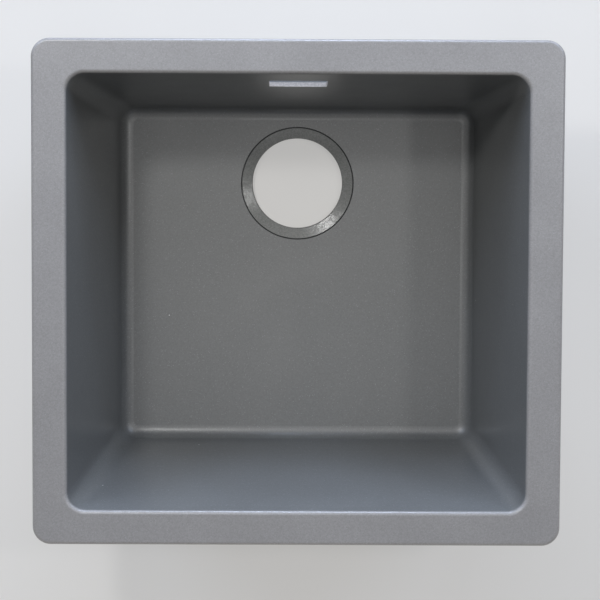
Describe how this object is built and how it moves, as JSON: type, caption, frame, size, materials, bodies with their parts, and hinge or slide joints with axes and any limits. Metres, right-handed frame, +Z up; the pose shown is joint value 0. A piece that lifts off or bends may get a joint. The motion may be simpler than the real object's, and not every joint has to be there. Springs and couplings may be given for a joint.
{
  "type": "single bowl kitchen sink",
  "caption": "Inset kitchen sink with one deep tapered bowl in grey stone composite, a rear drain, an overflow window and swivelling worktop clamps under its rim.",
  "frame": {"origin": "centre of the sink on the flat underside of its bowl", "axes": "+Z up as installed, +X to the right along the front, +Y from the front to the rear wall with the overflow"},
  "size_m": [0.46, 0.44, 0.21],
  "materials": {
    "composite": "satin moulded stone composite with a fine speckle",
    "drain_ring": "glossy turned ring in filled resin",
    "gasket_rubber": "matt black rubber",
    "foam_seal": "closed-cell foam strip",
    "brass": "turned brass",
    "zinc_steel": "bright zinc-plated steel",
    "claw_steel": "zinc-plated pressed steel"
  },
  "bodies": {
    "sink": {"bowl": "composite", "drain_ring": "drain_ring", "drain_gasket": "gasket_rubber", "rim_seal_front": "foam_seal", "rim_seal_rear": "foam_seal", "rim_seal_left": "foam_seal", "rim_seal_right": "foam_seal", "threaded_insert_rear_left": "brass", "clamp_stud_rear_left": "zinc_steel", "threaded_insert_rear_right": "brass", "clamp_stud_rear_right": "zinc_steel", "threaded_insert_front_left": "brass", "clamp_stud_front_left": "zinc_steel", "threaded_insert_front_right": "brass", "clamp_stud_front_right": "zinc_steel", "threaded_insert_left": "brass", "clamp_stud_left": "zinc_steel", "threaded_insert_right": "brass", "clamp_stud_right": "zinc_steel"},
    "washer_rear_left": {"clamp_washer_rear_left": "zinc_steel"},
    "nut_rear_left": {"clamp_nut_rear_left": "zinc_steel"},
    "claw_rear_left": {"clamp_claw_rear_left": "claw_steel"},
    "washer_rear_right": {"clamp_washer_rear_right": "zinc_steel"},
    "nut_rear_right": {"clamp_nut_rear_right": "zinc_steel"},
    "claw_rear_right": {"clamp_claw_rear_right": "claw_steel"},
    "washer_front_left": {"clamp_washer_front_left": "zinc_steel"},
    "nut_front_left": {"clamp_nut_front_left": "zinc_steel"},
    "claw_front_left": {"clamp_claw_front_left": "claw_steel"},
    "washer_front_right": {"clamp_washer_front_right": "zinc_steel"},
    "nut_front_right": {"clamp_nut_front_right": "zinc_steel"},
    "claw_front_right": {"clamp_claw_front_right": "claw_steel"},
    "washer_left": {"clamp_washer_left": "zinc_steel"},
    "nut_left": {"clamp_nut_left": "zinc_steel"},
    "claw_left": {"clamp_claw_left": "claw_steel"},
    "washer_right": {"clamp_washer_right": "zinc_steel"},
    "nut_right": {"clamp_nut_right": "zinc_steel"},
    "claw_right": {"clamp_claw_right": "claw_steel"}
  },
  "joints": [
    {"name": "clamp_lift_rear_left", "type": "slide", "parent": "sink", "child": "washer_rear_left", "axis": [0, 0, 1], "range_m": [0, 0.027]},
    {"name": "nut_spin_rear_left", "type": "hinge", "parent": "washer_rear_left", "child": "nut_rear_left", "pos_m": [-0.11, 0.2025, 0.13], "axis": [0, 0, 1], "range_deg": [0, 9720.5]},
    {"name": "claw_swivel_rear_left", "type": "hinge", "parent": "washer_rear_left", "child": "claw_rear_left", "pos_m": [-0.11, 0.2025, 0.13], "axis": [0, 0, 1], "range_deg": [0, 90]},
    {"name": "clamp_lift_rear_right", "type": "slide", "parent": "sink", "child": "washer_rear_right", "axis": [0, 0, 1], "range_m": [0, 0.027]},
    {"name": "nut_spin_rear_right", "type": "hinge", "parent": "washer_rear_right", "child": "nut_rear_right", "pos_m": [0.11, 0.2025, 0.13], "axis": [0, 0, 1], "range_deg": [0, 9720.5]},
    {"name": "claw_swivel_rear_right", "type": "hinge", "parent": "washer_rear_right", "child": "claw_rear_right", "pos_m": [0.11, 0.2025, 0.13], "axis": [0, 0, 1], "range_deg": [0, 90]},
    {"name": "clamp_lift_front_left", "type": "slide", "parent": "sink", "child": "washer_front_left", "axis": [0, 0, 1], "range_m": [0, 0.027]},
    {"name": "nut_spin_front_left", "type": "hinge", "parent": "washer_front_left", "child": "nut_front_left", "pos_m": [-0.11, -0.2025, 0.13], "axis": [0, 0, 1], "range_deg": [0, 9720.5]},
    {"name": "claw_swivel_front_left", "type": "hinge", "parent": "washer_front_left", "child": "claw_front_left", "pos_m": [-0.11, -0.2025, 0.13], "axis": [0, 0, 1], "range_deg": [0, 90]},
    {"name": "clamp_lift_front_right", "type": "slide", "parent": "sink", "child": "washer_front_right", "axis": [0, 0, 1], "range_m": [0, 0.027]},
    {"name": "nut_spin_front_right", "type": "hinge", "parent": "washer_front_right", "child": "nut_front_right", "pos_m": [0.11, -0.2025, 0.13], "axis": [0, 0, 1], "range_deg": [0, 9720.5]},
    {"name": "claw_swivel_front_right", "type": "hinge", "parent": "washer_front_right", "child": "claw_front_right", "pos_m": [0.11, -0.2025, 0.13], "axis": [0, 0, 1], "range_deg": [0, 90]},
    {"name": "clamp_lift_left", "type": "slide", "parent": "sink", "child": "washer_left", "axis": [0, 0, 1], "range_m": [0, 0.027]},
    {"name": "nut_spin_left", "type": "hinge", "parent": "washer_left", "child": "nut_left", "pos_m": [-0.2125, 0, 0.13], "axis": [0, 0, 1], "range_deg": [0, 9720.5]},
    {"name": "claw_swivel_left", "type": "hinge", "parent": "washer_left", "child": "claw_left", "pos_m": [-0.2125, 0, 0.13], "axis": [0, 0, 1], "range_deg": [0, 90]},
    {"name": "clamp_lift_right", "type": "slide", "parent": "sink", "child": "washer_right", "axis": [0, 0, 1], "range_m": [0, 0.027]},
    {"name": "nut_spin_right", "type": "hinge", "parent": "washer_right", "child": "nut_right", "pos_m": [0.2125, 0, 0.13], "axis": [0, 0, 1], "range_deg": [0, 9720.5]},
    {"name": "claw_swivel_right", "type": "hinge", "parent": "washer_right", "child": "claw_right", "pos_m": [0.2125, 0, 0.13], "axis": [0, 0, 1], "range_deg": [0, 90]}
  ],
  "couplings": [
    {"joint": "nut_spin_rear_left", "follows": "clamp_lift_rear_left", "rad_per_m": 6283.2},
    {"joint": "nut_spin_rear_right", "follows": "clamp_lift_rear_right", "rad_per_m": 6283.2},
    {"joint": "nut_spin_front_left", "follows": "clamp_lift_front_left", "rad_per_m": 6283.2},
    {"joint": "nut_spin_front_right", "follows": "clamp_lift_front_right", "rad_per_m": 6283.2},
    {"joint": "nut_spin_left", "follows": "clamp_lift_left", "rad_per_m": 6283.2},
    {"joint": "nut_spin_right", "follows": "clamp_lift_right", "rad_per_m": 6283.2}
  ]
}
